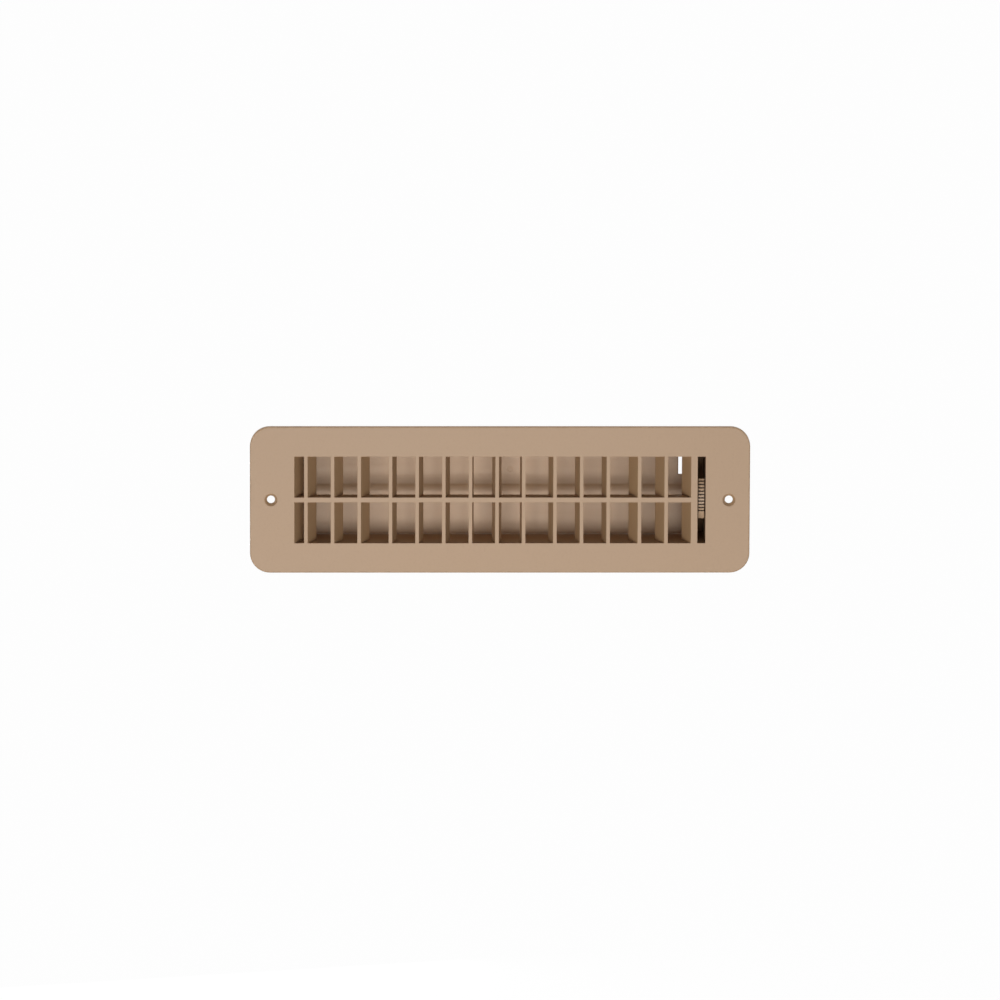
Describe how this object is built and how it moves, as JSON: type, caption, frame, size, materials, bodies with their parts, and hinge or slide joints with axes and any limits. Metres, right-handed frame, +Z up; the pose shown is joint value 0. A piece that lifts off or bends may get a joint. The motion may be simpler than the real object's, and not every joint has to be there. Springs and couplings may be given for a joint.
{
  "type": "dampered duct register",
  "caption": "Rectangular duct register with rounded face plate, fanned grille bars and a duct collar; a ribbed thumb wheel in the face turns a pivoting damper blade behind the grille.",
  "frame": {"origin": "centre of the face plate's back face, midway between the two screw holes", "axes": "+X along the face towards the thumb wheel, +Z up the face, +Y into the duct"},
  "size_m": [0.3, 0.0401, 0.089],
  "materials": {
    "face_plastic": "tan moulded plastic, fine matte texture",
    "blade_plastic": "tan moulded plastic, smooth satin",
    "wheel_plastic": "tan moulded plastic, satin"
  },
  "bodies": {
    "register": {"face_grille": "face_plastic"},
    "damper": {"damper_blade": "blade_plastic", "thumb_wheel": "wheel_plastic"}
  },
  "joints": [
    {"name": "damper_pivot", "type": "hinge", "parent": "register", "child": "damper", "pos_m": [0, 0.02705, 0], "axis": [1, 0, 0], "range_deg": [0, 45]}
  ]
}
